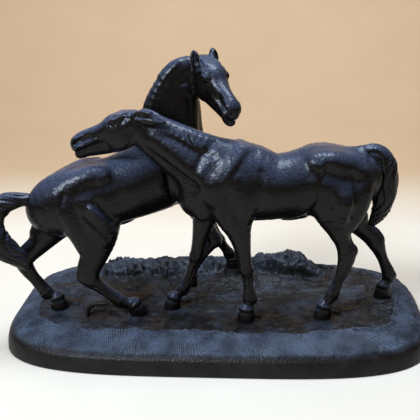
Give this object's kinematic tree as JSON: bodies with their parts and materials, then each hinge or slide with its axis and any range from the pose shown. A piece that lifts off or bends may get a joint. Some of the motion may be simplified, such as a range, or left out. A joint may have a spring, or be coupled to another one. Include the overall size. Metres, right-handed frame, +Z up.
{
  "type": "horse group sculpture",
  "caption": "Table sculpture of two standing horses, one with its neck over the other's back, on an oblong plinth with ground, rocks and a grass edge.",
  "frame": {"origin": "centre of the bounding box in plan, on the surface that the plinth stands on", "axes": "+X along the plinth towards the front horse's tail, +Y towards the rocks at the back, +Z up"},
  "size_m": [0.3519, 0.18, 0.2289],
  "materials": {
    "black_iron": "black lacquered cast iron, satin gloss over fine pebbly grain",
    "black_iron_ground": "black lacquered cast iron, duller, with a hatched grass edge and earth texture",
    "steel": "turned steel with a dark oil film"
  },
  "bodies": {
    "root": {"plinth": "black_iron_ground", "leg_prop": "black_iron_ground", "front_horse_body": "black_iron", "front_horse_head_neck": "black_iron", "front_horse_tail": "black_iron", "front_horse_left_foreleg": "black_iron", "front_horse_right_foreleg": "black_iron", "front_horse_left_hindleg": "black_iron", "front_horse_right_hindleg": "black_iron", "front_horse_neck_pin": "steel", "front_horse_tail_dowel": "steel", "front_horse_left_foreleg_dowel": "steel", "front_horse_left_foreleg_stud": "steel", "front_horse_left_foreleg_washer": "steel", "front_horse_left_foreleg_nut": "steel", "front_horse_right_foreleg_dowel": "steel", "front_horse_right_foreleg_stud": "steel", "front_horse_right_foreleg_washer": "steel", "front_horse_right_foreleg_nut": "steel", "front_horse_left_hindleg_dowel": "steel", "front_horse_left_hindleg_stud": "steel", "front_horse_left_hindleg_washer": "steel", "front_horse_left_hindleg_nut": "steel", "front_horse_right_hindleg_dowel": "steel", "front_horse_right_hindleg_stud": "steel", "front_horse_right_hindleg_washer": "steel", "front_horse_right_hindleg_nut": "steel", "rear_horse_body": "black_iron", "rear_horse_head_neck": "black_iron", "rear_horse_tail": "black_iron", "rear_horse_left_foreleg": "black_iron", "rear_horse_right_foreleg": "black_iron", "rear_horse_left_hindleg": "black_iron", "rear_horse_right_hindleg": "black_iron", "rear_horse_neck_pin": "steel", "rear_horse_tail_dowel": "steel", "rear_horse_left_foreleg_dowel": "steel", "rear_horse_left_foreleg_stud": "steel", "rear_horse_left_foreleg_washer": "steel", "rear_horse_left_foreleg_nut": "steel", "rear_horse_right_foreleg_dowel": "steel", "rear_horse_left_hindleg_dowel": "steel", "rear_horse_left_hindleg_stud": "steel", "rear_horse_left_hindleg_washer": "steel", "rear_horse_left_hindleg_nut": "steel", "rear_horse_right_hindleg_dowel": "steel", "rear_horse_right_hindleg_stud": "steel", "rear_horse_right_hindleg_washer": "steel", "rear_horse_right_hindleg_nut": "steel"}
  },
  "joints": []
}
